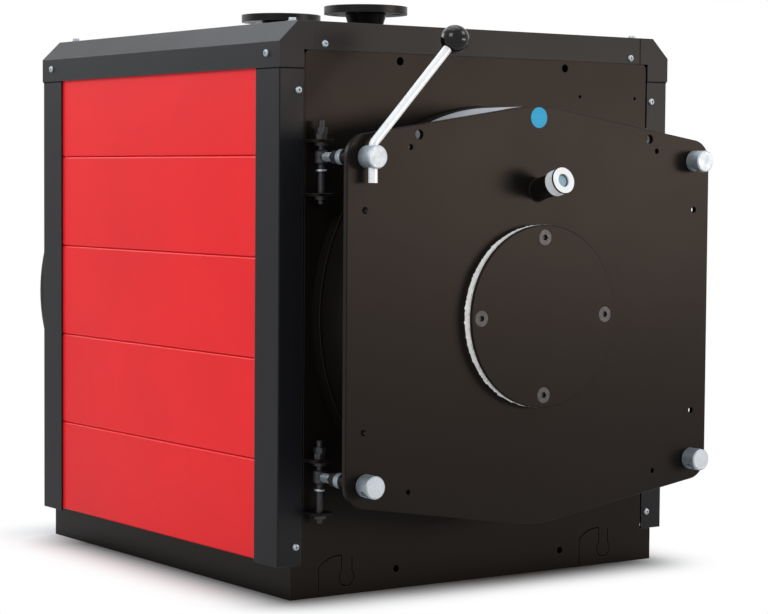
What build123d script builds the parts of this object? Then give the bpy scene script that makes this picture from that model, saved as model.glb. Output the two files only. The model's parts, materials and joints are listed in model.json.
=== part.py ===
from build123d import *
import math
import os

# Floor-standing heating boiler with a swinging burner door.
# Lengths are in millimetres: +X to the right, +Y from the door to the flue, +Z up.

# Casing and base, built around the barrel
CASING_SIDE_GAP = 70.0
CASING_FLOOR_GAP = 122.0
CASING_TOP_GAP = 59.0
CASING_DEPTH = 903.0
BASE_HEIGHT = 61.0
BASE_INSET = 27.0
BASE_RAIL_WIDTH = 50.0
BASE_RAIL_WALL = 4.0
SHEET = 2.0
JOINT_GAP = 0.5
SEAT_GAP = 0.3
POST_FRONT_WIDTH = 50.0
POST_SIDE_WIDTH = 78.0
POST_WALL = 4.0
POST_BEND = 2.0
POST_TUCK = 28.0
RAIL_SKIRT = 45.0
RAIL_CHAMFER_WIDTH = 39.0
RAIL_CHAMFER_HEIGHT = 37.5
RAIL_TOP_WIDTH = 31.0
RAIL_SHEET = 1.5

# Red side panels, stacked between the posts
PANEL_COUNT = 5
PANEL_LAP = 15.0
PANEL_DEPTH = 20.0
PANEL_SHEET = 1.5
PANEL_EDGE_RADIUS = 4.0
PANEL_TUCK = 27.0
PANEL_FOOT_GAP = 3.0

# Front and rear panels and the top cover
END_PANEL_RISE = 32.0
PANEL_CORNER_RADIUS = 10.0
PANEL_SIDE_GAP = 3.5
TOP_HOLE_X = 191.5
TOP_HOLE_DROP = 14.0
TOP_HOLE_RADIUS = 7.5
FOOT_HOLE_X = 192.0
FOOT_HOLE_Z = 36.0
FOOT_HOLE_RADIUS = 6.5
CABLE_HOLE_INSET = 100.0
CABLE_HOLE_SPACING = 138.0
CABLE_HOLE_DROP = 66.5
CABLE_HOLE_RADIUS = 3.0

# Slits around the two foot tabs of the front panel, each with a keyhole loop
SLIT_WIDTH = 2.0
TAB_INSET = 120.5
TAB_WIDTH = 60.0
TAB_SHOULDER = 53.0
TAB_TOP = 71.5
TAB_ROUND_WIDTH = 40.5
TAB_ROUND_RADIUS = 60.0
KEY_HEIGHT = 31.0
KEY_RADIUS = 16.0
KEY_NECK = 11.2
KEY_END = 68.0

# Boiler barrel, tube plates, furnace and smoke tubes, all on one level axis
BARREL_RADIUS = 378.0
BARREL_WALL = 11.0
BARREL_LIP = 24.0
BARREL_RIM_WIDTH = 48.0
BARREL_RIM_THICKNESS = 12.0
BARREL_TAIL = 3.0
TUBE_PLATE_THICKNESS = 12.0
TUBE_PLATE_SETBACK = 34.0
TUBE_PROUD = 5.0
REAR_PLATE_SETBACK = 95.0
FURNACE_SIZE_SHARE = 0.5424
FURNACE_WALL = 8.0
FURNACE_END_GAP = 89.0
FURNACE_END_RADIUS = 60.0
TUBE_COUNT = 18
TUBE_RADIUS = 28.5
TUBE_WALL = 3.0
SADDLE_THICKNESS = 12.0
SADDLE_HEIGHT = 190.0
SADDLE_SETBACK = 150.0

# Smoke box and flue at the rear
SMOKE_BOX_OVERSIZE = 2.0
SMOKE_BOX_DEPTH = 165.0
SMOKE_BOX_WALL = 5.0
SMOKE_BOX_BEND = 20.0
FLUE_RADIUS = 100.0
FLUE_WALL = 3.0
FLUE_LENGTH = 73.0
FLUE_COLLAR_WIDTH = 14.0
FLUE_COLLAR_THICKNESS = 6.0

# Flow and return connections on the top
FLANGE_RADIUS = 82.5
FLANGE_THICKNESS = 15.0
FLANGE_RISE = 63.5
FLANGE_BOLT_CIRCLE = 125.0
FLANGE_BOLT_COUNT = 4
FLANGE_BOLT_RADIUS = 9.0
HUB_RADIUS = 41.0
HUB_HEIGHT = 36.0
PIPE_RADIUS = 30.15
PIPE_WALL = 2.9
PIPE_CLEARANCE = 4.0
FLOW_PLACE_SHARE = 0.43
RETURN_PLACE_SHARE = 0.775

# Burner door, sized to the barrel and clamped at four corners
DOOR_STANDOFF = 160.7
DOOR_THICKNESS = 10.0
DOOR_EDGE = 1.5
CLAMP_INSET = 24.0
CLAMP_DROP = 97.0
DOOR_CORNER_RADIUS = 40.0
DOOR_SHORTFALL = 2.0
DOOR_APEX_RADIUS = 300.0
LIFT_HOLE_INSET = 110.0
LIFT_HOLE_RISE = 40.0
LIFT_HOLE_RADIUS = 8.5
TIE_HOLE_INSET = 92.0
TIE_HOLE_RISE = 18.0
TIE_HOLE_RADIUS = 5.0
SIDE_HOLE_INSET = -3.0
SIDE_HOLE_RISE = -91.0
SIDE_HOLE_RADIUS = 6.0
DRUM_SETBACK = 11.0
DRUM_WALL = 4.0
DRUM_FLANGE_LIP = 15.0
DRUM_FLANGE_WIDTH = 37.0
DRUM_FLANGE_THICKNESS = 6.0
ROPE_INSET = 18.0
ROPE_WIDTH = 14.0
ROPE_HEIGHT = 6.0
PLUG_GAP = 30.0
PLUG_REACH = 16.0
PLUG_TAPER = 12.0
BURNER_PORT_RADIUS = 110.0
PORT_FLARE = 12.0
BADGE_RADIUS = 18.5
BADGE_THICKNESS = 0.6
BADGE_DROP = 20.5

# Blind cover over the burner port
COVER_LAP = 54.0
COVER_THICKNESS = 9.5
COVER_EDGE = 1.5
COVER_SCREW_INSET = 22.5
COVER_SCREW_COUNT = 4
COVER_SCREW_RADIUS = 8.5
COVER_SCREW_HEAD_RADIUS = 15.0
COVER_SCREW_HEAD_HEIGHT = 7.5
COVER_GASKET_SETBACK = 2.0
COVER_GASKET_THICKNESS = 13.0

# Sight glass above the burner cover
SIGHT_CLEARANCE = 62.0
SIGHT_TILT = 14.0
SIGHT_LENGTH = 74.0
SIGHT_TUBE_RADIUS = 20.0
SIGHT_BORE_RADIUS = 14.0
FERRULE_RADIUS = 23.25
FERRULE_LENGTH = 24.0
FERRULE_GROOVE_DEPTH = 1.5
FERRULE_GROOVE_WIDTH = 2.0
FERRULE_GROOVE_PLACE = 9.0
FERRULE_LIP = 5.0
LENS_RADIUS = 17.0
LENS_THICKNESS = 6.0
LENS_VIEW_RADIUS = 12.0

# Hinge pins, brackets and eye bolts at the door's four corners
PIN_STANDOFF = 21.0
PIN_RADIUS = 6.0
PIN_RISE = 64.0
PIN_DROP = 82.0
PIN_NUT_WIDTH = 19.0
PIN_NUT_HEIGHT = 10.5
PIN_NUT_EDGE = 1.2
PIN_NUT_COUNT = 2
PIN_NUT_TURN = 20.0
PIN_WASHER_RADIUS = 12.5
PIN_WASHER_HEIGHT = 6.0
PIN_CLIP_RADIUS = 8.5
PIN_CLIP_HEIGHT = 2.5
PIN_CLIP_DROP = 12.0
BRACKET_RISE = 26.0
BRACKET_DROP = 63.0
BRACKET_THICKNESS = 5.0
BRACKET_WIDTH = 46.0
BRACKET_REACH = 38.0
BRACKET_CORNER = 14.0
BRACKET_ROOT_DEPTH = 60.0
EYE_RADIUS = 11.5
EYE_HEIGHT = 25.0
EYE_EDGE = 3.0
EYE_CLEARANCE = 0.08
SHANK_RADIUS = 8.0
LOCK_NUT_WIDTH = 22.0
LOCK_NUT_HEIGHT = 15.0
COLLAR_RADIUS = 13.7
COLLAR_LENGTH = 19.0
COLLAR_EDGE = 4.0
COLLAR_GAP = 1.0
COLLAR_CLEARANCE = 0.2
SLEEVE_RADIUS = 15.0
SLEEVE_LENGTH = 52.0
SLEEVE_CLEARANCE = 0.4

# Capstan nuts and the bent lever that turns them
NUT_RADIUS = 20.0
NUT_LENGTH = 34.0
NUT_CHAMFER = 2.0
NUT_GAP = 0.4
NUT_BORE_DEPTH = 9.0
NUT_BORE_CLEARANCE = 0.1
NUT_CROSS_PLACE = 18.5
NUT_CROSS_ANGLE = 45.0
LEVER_RADIUS = 8.0
LEVER_CLEARANCE = 0.3
LEVER_STUB = 44.0
LEVER_RISE = 22.0
LEVER_ANGLE = 43.0
LEVER_BEND_RADIUS = 14.0
LEVER_ARM = 250.0
KNOB_RADIUS = 25.0
KNOB_SOCKET_DEPTH = 16.0

# One overrun for every cut, and one way to place bars: from their lower end
OVERRUN = 5.0
BAR_ALIGN = (Align.CENTER, Align.CENTER, Align.MIN)

# Places that follow from the sizes above
half_width = BARREL_RADIUS + CASING_SIDE_GAP
axis_height = BARREL_RADIUS + CASING_FLOOR_GAP
rail_bottom = axis_height + BARREL_RADIUS + CASING_TOP_GAP
end_panel_top = rail_bottom + END_PANEL_RISE
tilt = math.radians(SIGHT_TILT)
front_reach = DOOR_STANDOFF + SIGHT_LENGTH * math.cos(tilt) + FERRULE_RADIUS * math.sin(tilt)
rear_reach = BARREL_TAIL + SMOKE_BOX_DEPTH + FLUE_LENGTH
front_y = (front_reach - CASING_DEPTH - rear_reach) / 2
rear_y = front_y + CASING_DEPTH
base_half_width = half_width - BASE_INSET
chamfer_bottom = rail_bottom + RAIL_SKIRT
casing_top = chamfer_bottom + RAIL_CHAMFER_HEIGHT
flange_top = casing_top + FLANGE_RISE
rail_outer_x = half_width + RAIL_SHEET
rail_inner_x = rail_outer_x - RAIL_CHAMFER_WIDTH - RAIL_TOP_WIDTH
panel_half_width = half_width - POST_FRONT_WIDTH
barrel_front_y = front_y - BARREL_LIP
barrel_rear_y = rear_y + BARREL_TAIL
barrel_bore = BARREL_RADIUS - BARREL_WALL
furnace_radius = FURNACE_SIZE_SHARE * BARREL_RADIUS
tube_circle_radius = (furnace_radius + barrel_bore) / 2
tube_plate_y = front_y + TUBE_PLATE_SETBACK
rear_plate_y = rear_y - REAR_PLATE_SETBACK
smoke_box_radius = BARREL_RADIUS + SMOKE_BOX_OVERSIZE
clamp_x = panel_half_width - CLAMP_INSET
clamp_z = BARREL_RADIUS - CLAMP_DROP
door_front_y = front_y - DOOR_STANDOFF
door_back_y = door_front_y + DOOR_THICKNESS
drum_back_y = barrel_front_y - SEAT_GAP - ROPE_HEIGHT
drum_flange_radius = BARREL_RADIUS - DRUM_SETBACK
drum_flange_bore = drum_flange_radius - DRUM_FLANGE_WIDTH
drum_radius = drum_flange_radius - DRUM_FLANGE_LIP
drum_bore = drum_radius - DRUM_WALL
plug_radius = drum_flange_bore - PLUG_GAP
cover_radius = BURNER_PORT_RADIUS + COVER_LAP
sight_height = axis_height + cover_radius + SIGHT_CLEARANCE
gasket_front_y = door_front_y - COVER_GASKET_THICKNESS
pin_y = front_y - PIN_STANDOFF
sleeve_back_y = door_back_y + SLEEVE_LENGTH
collar_front_y = sleeve_back_y + COLLAR_GAP
collar_back_y = collar_front_y + COLLAR_LENGTH
nut_back_y = door_front_y - NUT_GAP
lever_y = nut_back_y - NUT_CROSS_PLACE
shank_end_y = nut_back_y - NUT_BORE_DEPTH + NUT_GAP


def block(x_span, y_span, z_span):
    """Box between two values on each axis."""
    spans = (x_span, y_span, z_span)
    low = [min(span) for span in spans]
    size = [max(span) - min(span) for span in spans]
    return Pos(*low) * Box(*size, align=Align.MIN)


def plate(outline, back_y, thickness):
    """Upright plate from an outline in x and z, raised towards the front."""
    plane = Plane((0, back_y, 0), x_dir=(1, 0, 0), z_dir=(0, -1, 0))
    return extrude(plane * outline, amount=thickness)


def round_bar(x, z, back_y, length, radius):
    """Round bar that runs forward from back_y."""
    bar = Cylinder(radius, length, align=BAR_ALIGN)
    return Pos(x, back_y, z) * Rot(90, 0, 0) * bar


def round_post(x, y, low_z, height, radius):
    """Upright round bar that starts at low_z."""
    return Pos(x, y, low_z) * Cylinder(radius, height, align=BAR_ALIGN)


def turned(profile):
    """Ring or drum turned about the burner axis from points of radius and y."""
    face = Plane.XY.offset(axis_height) * make_face(Polyline(*profile, close=True))
    return revolve(face, Axis((0, 0, axis_height), (0, 1, 0)))


def barrel_space(radius):
    """Long cylinder on the burner axis, to cut a seat for the barrel."""
    length = CASING_DEPTH + BARREL_LIP + BARREL_TAIL + OVERRUN
    return round_bar(0, axis_height, barrel_rear_y + OVERRUN, length + OVERRUN, radius)


def tube_places():
    """Centres of the smoke tubes around the burner axis, in x and z."""
    step = 2 * math.pi / TUBE_COUNT
    angles = [step * (index + 0.5) for index in range(TUBE_COUNT)]
    radius = tube_circle_radius
    return [(radius * math.sin(angle), axis_height + radius * math.cos(angle)) for angle in angles]


def save(node, *solids):
    """Write one named piece, made of one or more separate solids."""
    shape = solids[0] if len(solids) == 1 else Compound(children=list(solids))
    shape.label = node
    export_step(shape, f"parts/{node}.step")


def base_rail(side):
    """Square tube under one side of the casing."""
    outer_x = side * base_half_width
    inner_x = side * (base_half_width - BASE_RAIL_WIDTH)
    wall_x = side * BASE_RAIL_WALL
    ends = (front_y + SHEET, rear_y - SHEET)
    tube = block((outer_x, inner_x), ends, (0, BASE_HEIGHT))
    bore_z = (BASE_RAIL_WALL, BASE_HEIGHT - BASE_RAIL_WALL)
    return tube - block((outer_x - wall_x, inner_x + wall_x), ends, bore_z)


def saddle(middle_y):
    """Cross plate between the base rails with a seat for the barrel."""
    reach = base_half_width - BASE_RAIL_WIDTH
    middle = (middle_y - SADDLE_THICKNESS / 2, middle_y + SADDLE_THICKNESS / 2)
    return block((-reach, reach), middle, (0, SADDLE_HEIGHT)) - barrel_space(BARREL_RADIUS + SEAT_GAP)


def corner_post(side, corner_y, inward):
    """Folded corner angle, wide on the casing's side and narrow on its end."""
    outer_x = side * half_width
    wall_x = side * POST_WALL
    wall_y = inward * POST_WALL
    end_x = side * panel_half_width + side * JOINT_GAP
    end_y = corner_y + inward * POST_SIDE_WIDTH
    corners = [
        (outer_x, corner_y),
        (end_x, corner_y),
        (end_x, corner_y + wall_y),
        (outer_x - wall_x, corner_y + wall_y),
        (outer_x - wall_x, end_y),
        (outer_x, end_y),
    ]
    angle = make_face(Polyline(*corners, close=True))
    bend = angle.vertices().sort_by_distance((outer_x, corner_y, 0))[0]
    angle = fillet(bend, POST_BEND)
    height = rail_bottom + POST_TUCK - BASE_HEIGHT
    return extrude(Pos(0, 0, BASE_HEIGHT) * angle, amount=height)


def side_panels(side):
    """Stack of folded pans tucked behind the two posts of one side."""
    outer_x = side * (half_width - POST_WALL - SEAT_GAP)
    inner_x = outer_x - side * PANEL_DEPTH
    lap_start = POST_SIDE_WIDTH - PANEL_LAP
    ends = (front_y + lap_start, rear_y - lap_start)
    foot_z = BASE_HEIGHT + PANEL_FOOT_GAP
    pitch = (rail_bottom + PANEL_TUCK - foot_z) / PANEL_COUNT
    pans = []
    for index in range(PANEL_COUNT):
        low_z = foot_z + index * pitch
        high_z = low_z + pitch - JOINT_GAP
        pan = block((outer_x, inner_x), ends, (low_z, high_z))
        rim = pan.faces().sort_by(Axis.X)[-1 if side > 0 else 0]
        pan = fillet(rim.edges().filter_by(Axis.Y), PANEL_EDGE_RADIUS)
        hollow_ends = (ends[0] + PANEL_SHEET, ends[1] - PANEL_SHEET)
        hollow_z = (low_z + PANEL_SHEET, high_z - PANEL_SHEET)
        hollow_x = outer_x - side * (PANEL_EDGE_RADIUS + PANEL_SHEET)
        pans.append(pan - block((hollow_x, inner_x), hollow_ends, hollow_z))
    return pans


def rail_outline(side):
    """End view of a top rail: skirt, slope and flat top, notched over the post."""
    outer_x = side * rail_outer_x
    inner_x = side * rail_inner_x
    post_x = side * (panel_half_width + JOINT_GAP)
    corners = [
        (outer_x, rail_bottom),
        (outer_x, chamfer_bottom),
        (outer_x - side * RAIL_CHAMFER_WIDTH, casing_top),
        (inner_x, casing_top),
        (inner_x, end_panel_top),
        (post_x, end_panel_top),
        (post_x, rail_bottom),
    ]
    return make_face(Polyline(*corners, close=True))


def top_rail(side):
    """Folded rail along one upper edge of the casing, closed at both ends."""
    outer_x = side * rail_outer_x
    inner_x = side * rail_inner_x
    slope = math.atan2(RAIL_CHAMFER_HEIGHT, RAIL_CHAMFER_WIDTH)
    skirt_trim = RAIL_SHEET * math.tan(slope / 2)
    lean = (math.pi / 2 - slope) / 2
    inside_corners = [
        (outer_x - side * RAIL_SHEET, rail_bottom - OVERRUN),
        (outer_x - side * RAIL_SHEET, chamfer_bottom - RAIL_SHEET * math.tan(lean)),
        (outer_x - side * (RAIL_CHAMFER_WIDTH + skirt_trim), casing_top - RAIL_SHEET),
        (inner_x - side * OVERRUN, casing_top - RAIL_SHEET),
        (inner_x - side * OVERRUN, rail_bottom - OVERRUN),
    ]
    inside = make_face(Polyline(*inside_corners, close=True))
    whole = plate(rail_outline(side), rear_y + RAIL_SHEET, CASING_DEPTH + 2 * RAIL_SHEET)
    return whole - plate(inside, rear_y, CASING_DEPTH)


def top_cover():
    """Flat cover between the rails, turned down at the front and the rear."""
    reach = rail_inner_x - JOINT_GAP
    low_z = end_panel_top + JOINT_GAP
    cover = block((-reach, reach), (front_y, rear_y), (low_z, casing_top))
    inside = (front_y + SHEET, rear_y - SHEET)
    cover -= block((-half_width, half_width), inside, (low_z - OVERRUN, casing_top - SHEET))
    hole_z = casing_top - SHEET - OVERRUN
    hole_depth = SHEET + 2 * OVERRUN
    for share in (FLOW_PLACE_SHARE, RETURN_PLACE_SHARE):
        hole_y = front_y + share * CASING_DEPTH
        cover -= round_post(0, hole_y, hole_z, hole_depth, PIPE_RADIUS + PIPE_CLEARANCE)
    return cover


def end_panel(back_y):
    """Sheet that closes one end of the casing around the barrel."""
    width = 2 * (panel_half_width - PANEL_SIDE_GAP)
    upper = Pos(0, end_panel_top / 2) * Rectangle(width, end_panel_top)
    corners = upper.vertices().group_by(Axis.Y)[-1]
    foot_height = BASE_HEIGHT - JOINT_GAP
    foot = Pos(0, foot_height / 2) * Rectangle(2 * base_half_width, foot_height)
    outline = fillet(corners, PANEL_CORNER_RADIUS) + foot
    outline -= Pos(0, axis_height) * Circle(BARREL_RADIUS + SEAT_GAP)
    return plate(outline, back_y, SHEET)


def tab_slit():
    """Thin cut around a foot tab: up, over a round shoulder and around a keyhole."""
    round_end = TAB_ROUND_WIDTH - TAB_WIDTH
    gap_angle = math.asin(KEY_NECK / KEY_RADIUS)
    neck_z = KEY_HEIGHT + KEY_RADIUS * math.cos(gap_angle)
    loop_start = 90 + math.degrees(gap_angle)
    loop_turn = 360 - 2 * math.degrees(gap_angle)
    path = [
        Line((-TAB_WIDTH, -OVERRUN), (-TAB_WIDTH, TAB_SHOULDER)),
        RadiusArc((-TAB_WIDTH, TAB_SHOULDER), (round_end, TAB_TOP), TAB_ROUND_RADIUS),
        Polyline((round_end, TAB_TOP), (-KEY_NECK, TAB_TOP), (-KEY_NECK, neck_z)),
        CenterArc((0, KEY_HEIGHT), KEY_RADIUS, loop_start, loop_turn),
        Line((KEY_NECK, neck_z), (KEY_NECK, KEY_END)),
    ]
    return trace(path, SLIT_WIDTH)


def front_panel():
    """Front sheet with its holes, tab slits and the slots for the hinge brackets."""
    panel = end_panel(front_y + SHEET)
    holes = [(side * TOP_HOLE_X, end_panel_top - TOP_HOLE_DROP, TOP_HOLE_RADIUS) for side in (-1, 1)]
    holes += [(side * FOOT_HOLE_X, FOOT_HOLE_Z, FOOT_HOLE_RADIUS) for side in (-1, 1)]
    cable_x = panel_half_width - CABLE_HOLE_INSET
    for side in (-1, 1):
        x = cable_x + side * CABLE_HOLE_SPACING / 2
        holes.append((x, end_panel_top - CABLE_HOLE_DROP, CABLE_HOLE_RADIUS))
    for x, z, radius in holes:
        panel -= round_bar(x, z, front_y + SHEET + OVERRUN, SHEET + 2 * OVERRUN, radius)
    for side in (-1, 1):
        slit = Pos(side * (base_half_width - TAB_INSET), 0) * tab_slit()
        panel -= plate(slit, front_y + SHEET + OVERRUN, SHEET + 2 * OVERRUN)
    slot_y = (front_y - OVERRUN, front_y + SHEET + OVERRUN)
    for x, z in clamp_places():
        slot_x = (x - BRACKET_WIDTH / 2 - SEAT_GAP, x + BRACKET_WIDTH / 2 + SEAT_GAP)
        for low_z in bracket_levels(z):
            slot_z = (low_z - SEAT_GAP, low_z + BRACKET_THICKNESS + SEAT_GAP)
            panel -= block(slot_x, slot_y, slot_z)
    return panel


def barrel():
    """Insulated shell that carries everything, with a sealing rim at its mouth."""
    rim_bore = BARREL_RADIUS - BARREL_RIM_WIDTH
    rim_back_y = barrel_front_y + BARREL_RIM_THICKNESS
    profile = [
        (rim_bore, barrel_front_y),
        (BARREL_RADIUS, barrel_front_y),
        (BARREL_RADIUS, barrel_rear_y),
        (barrel_bore, barrel_rear_y),
        (barrel_bore, rim_back_y),
        (rim_bore, rim_back_y),
    ]
    return turned(profile)


def tube_plate(face_y, bore_radius):
    """Round plate in the barrel that holds the ends of the smoke tubes."""
    disc = Circle(barrel_bore - SEAT_GAP)
    if bore_radius:
        disc -= Circle(bore_radius)
    outline = Pos(0, axis_height) * disc
    for x, z in tube_places():
        outline -= Pos(x, z) * Circle(TUBE_RADIUS + SEAT_GAP)
    return plate(outline, face_y + TUBE_PLATE_THICKNESS, TUBE_PLATE_THICKNESS)


def furnace():
    """Round fire tube, open at the front and dished shut at the back."""
    end_y = rear_plate_y - FURNACE_END_GAP
    length = end_y - tube_plate_y + TUBE_PROUD
    tube = round_bar(0, axis_height, end_y, length, furnace_radius)
    tube = fillet(tube.edges().group_by(Axis.Y)[-1], FURNACE_END_RADIUS)
    bore_radius = furnace_radius - FURNACE_WALL
    bore = round_bar(0, axis_height, end_y - FURNACE_WALL, length, bore_radius)
    return tube - fillet(bore.edges().group_by(Axis.Y)[-1], FURNACE_END_RADIUS - FURNACE_WALL)


def smoke_tubes():
    """Ring of plain tubes from the front tube plate to the rear one."""
    back_y = rear_plate_y + TUBE_PLATE_THICKNESS + TUBE_PROUD
    length = back_y - tube_plate_y + TUBE_PROUD
    tubes = []
    for x, z in tube_places():
        tube = round_bar(x, z, back_y, length, TUBE_RADIUS)
        bore_length = length + 2 * OVERRUN
        tubes.append(tube - round_bar(x, z, back_y + OVERRUN, bore_length, TUBE_RADIUS - TUBE_WALL))
    return tubes


def smoke_box():
    """Shallow drum behind the barrel with a hole for the flue."""
    mouth_y = barrel_rear_y
    end_y = mouth_y + SMOKE_BOX_DEPTH
    drum = round_bar(0, axis_height, end_y, SMOKE_BOX_DEPTH, smoke_box_radius)
    drum = fillet(drum.edges().group_by(Axis.Y)[-1], SMOKE_BOX_BEND)
    bore_radius = smoke_box_radius - SMOKE_BOX_WALL
    bore = round_bar(0, axis_height, end_y - SMOKE_BOX_WALL, SMOKE_BOX_DEPTH, bore_radius)
    drum -= fillet(bore.edges().group_by(Axis.Y)[-1], SMOKE_BOX_BEND - SMOKE_BOX_WALL)
    return drum - round_bar(0, axis_height, end_y + OVERRUN, SMOKE_BOX_DEPTH, FLUE_RADIUS + SEAT_GAP)


def flue_spigot():
    """Short flue tube with a welded collar against the smoke box."""
    plate_y = barrel_rear_y + SMOKE_BOX_DEPTH
    bore_radius = FLUE_RADIUS - FLUE_WALL
    collar_radius = FLUE_RADIUS + FLUE_COLLAR_WIDTH
    profile = [
        (bore_radius, plate_y - SMOKE_BOX_WALL),
        (FLUE_RADIUS, plate_y - SMOKE_BOX_WALL),
        (FLUE_RADIUS, plate_y),
        (collar_radius, plate_y),
        (collar_radius, plate_y + FLUE_COLLAR_THICKNESS),
        (FLUE_RADIUS, plate_y + FLUE_COLLAR_THICKNESS),
        (FLUE_RADIUS, plate_y + FLUE_LENGTH),
        (bore_radius, plate_y + FLUE_LENGTH),
    ]
    return turned(profile)


def pipe_connection(place_share):
    """Welding-neck flange on a short pipe that stands on the barrel."""
    flange_z = flange_top - FLANGE_THICKNESS
    hub_z = flange_z - HUB_HEIGHT
    bore_radius = PIPE_RADIUS - PIPE_WALL
    profile = [
        (bore_radius, axis_height),
        (PIPE_RADIUS, axis_height),
        (PIPE_RADIUS, hub_z),
        (HUB_RADIUS, flange_z),
        (FLANGE_RADIUS, flange_z),
        (FLANGE_RADIUS, flange_top),
        (bore_radius, flange_top),
    ]
    face = Plane.XZ * make_face(Polyline(*profile, close=True))
    neck = revolve(face, Axis.Z)
    step = 360 / FLANGE_BOLT_COUNT
    for index in range(FLANGE_BOLT_COUNT):
        angle = math.radians(step * (index + 0.5))
        x = FLANGE_BOLT_CIRCLE / 2 * math.cos(angle)
        y = FLANGE_BOLT_CIRCLE / 2 * math.sin(angle)
        neck -= round_post(x, y, flange_z - OVERRUN, FLANGE_THICKNESS + 2 * OVERRUN, FLANGE_BOLT_RADIUS)
    middle_y = front_y + place_share * CASING_DEPTH
    return Pos(0, middle_y, 0) * neck - barrel_space(BARREL_RADIUS + SEAT_GAP)


def clamp_places():
    """The door's four clamping points in x and z, upper left first."""
    return [(side * clamp_x, axis_height + level * clamp_z) for level in (1, -1) for side in (-1, 1)]


def bracket_levels(z):
    """Undersides of the two bracket arms of the hinge at height z."""
    return (z + BRACKET_RISE, z - BRACKET_DROP - BRACKET_THICKNESS)


def hinge_brackets(side):
    """Four arms from the barrel through the front panel, drilled for the pins."""
    x = side * clamp_x
    outer_x = x + side * BRACKET_WIDTH / 2
    nose = Pos(x, front_y - BRACKET_REACH / 2) * Rectangle(BRACKET_WIDTH, BRACKET_REACH)
    nose = fillet(nose.vertices().group_by(Axis.Y)[0], BRACKET_CORNER)
    root_width = abs(outer_x)
    root_y = front_y + BRACKET_ROOT_DEPTH / 2
    root = Pos(outer_x / 2, root_y + SHEET) * Rectangle(root_width, BRACKET_ROOT_DEPTH)
    tongue = Pos(x, front_y + SHEET) * Rectangle(BRACKET_WIDTH, 2 * SHEET)
    outline = nose + tongue + root - Pos(x, pin_y) * Circle(PIN_RADIUS + SEAT_GAP)
    arms = []
    for level in (1, -1):
        for low_z in bracket_levels(axis_height + level * clamp_z):
            arm = extrude(Pos(0, 0, low_z) * outline, amount=BRACKET_THICKNESS)
            arms.append(arm - barrel_space(BARREL_RADIUS + SEAT_GAP))
    return arms


def hinge_pin(x, z):
    """Upright pin with two nuts over its upper arm, a washer under each arm and a clip."""
    pin = round_post(x, pin_y, z - PIN_DROP, PIN_DROP + PIN_RISE, PIN_RADIUS)
    upper_z, lower_z = bracket_levels(z)
    blank = extrude(RegularPolygon(PIN_NUT_WIDTH / 2, 6, major_radius=False), amount=PIN_NUT_HEIGHT)
    nut_bound = Cylinder(PIN_NUT_WIDTH / math.sqrt(3), PIN_NUT_HEIGHT, align=BAR_ALIGN)
    nut = blank & chamfer(nut_bound.edges().filter_by(GeomType.CIRCLE), PIN_NUT_EDGE)
    for index in range(PIN_NUT_COUNT):
        nut_z = upper_z + BRACKET_THICKNESS + index * PIN_NUT_HEIGHT
        pin += Pos(x, pin_y, nut_z) * Rot(0, 0, index * PIN_NUT_TURN) * nut
    for low_z in (upper_z, lower_z):
        pin += round_post(x, pin_y, low_z - PIN_WASHER_HEIGHT, PIN_WASHER_HEIGHT, PIN_WASHER_RADIUS)
    clip_z = z - EYE_HEIGHT / 2 - PIN_CLIP_DROP
    return pin + round_post(x, pin_y, clip_z, PIN_CLIP_HEIGHT, PIN_CLIP_RADIUS)


def eye_bolt(x, z, end_y):
    """Eye that swings on a hinge pin, with its shank and lock nut."""
    eye = round_post(x, pin_y, z - EYE_HEIGHT / 2, EYE_HEIGHT, EYE_RADIUS)
    eye = chamfer(eye.edges().filter_by(GeomType.CIRCLE), EYE_EDGE)
    bolt = eye + round_bar(x, z, pin_y, pin_y - end_y, SHANK_RADIUS)
    hexagon = Pos(x, z) * RegularPolygon(LOCK_NUT_WIDTH / 2, 6, major_radius=False)
    bolt += plate(hexagon, collar_back_y + LOCK_NUT_HEIGHT, LOCK_NUT_HEIGHT)
    bore_z = z - EYE_HEIGHT / 2 - OVERRUN
    return bolt - round_post(x, pin_y, bore_z, EYE_HEIGHT + 2 * OVERRUN, PIN_RADIUS + EYE_CLEARANCE)


def adjusting_collar(x, z):
    """Bright round collar on the shank between the lock nut and the door's sleeve."""
    collar = round_bar(x, z, collar_back_y, COLLAR_LENGTH, COLLAR_RADIUS)
    collar = chamfer(collar.edges().group_by(Axis.Y)[-1], COLLAR_EDGE)
    bore_length = COLLAR_LENGTH + 2 * OVERRUN
    return collar - round_bar(x, z, collar_back_y + OVERRUN, bore_length, SHANK_RADIUS + COLLAR_CLEARANCE)


def sight_axis(distance):
    """Frame on the sight glass's leaning axis, a distance out from the door."""
    lean = Vector(0, -math.cos(tilt), math.sin(tilt))
    foot = Vector(0, door_front_y, sight_height)
    return Plane(foot + lean * distance, x_dir=(1, 0, 0), z_dir=lean)


def sight_bar(start, length, radius):
    """Round bar along the sight glass's axis."""
    bar = Cylinder(radius, length, align=BAR_ALIGN)
    return sight_axis(start) * bar


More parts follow.
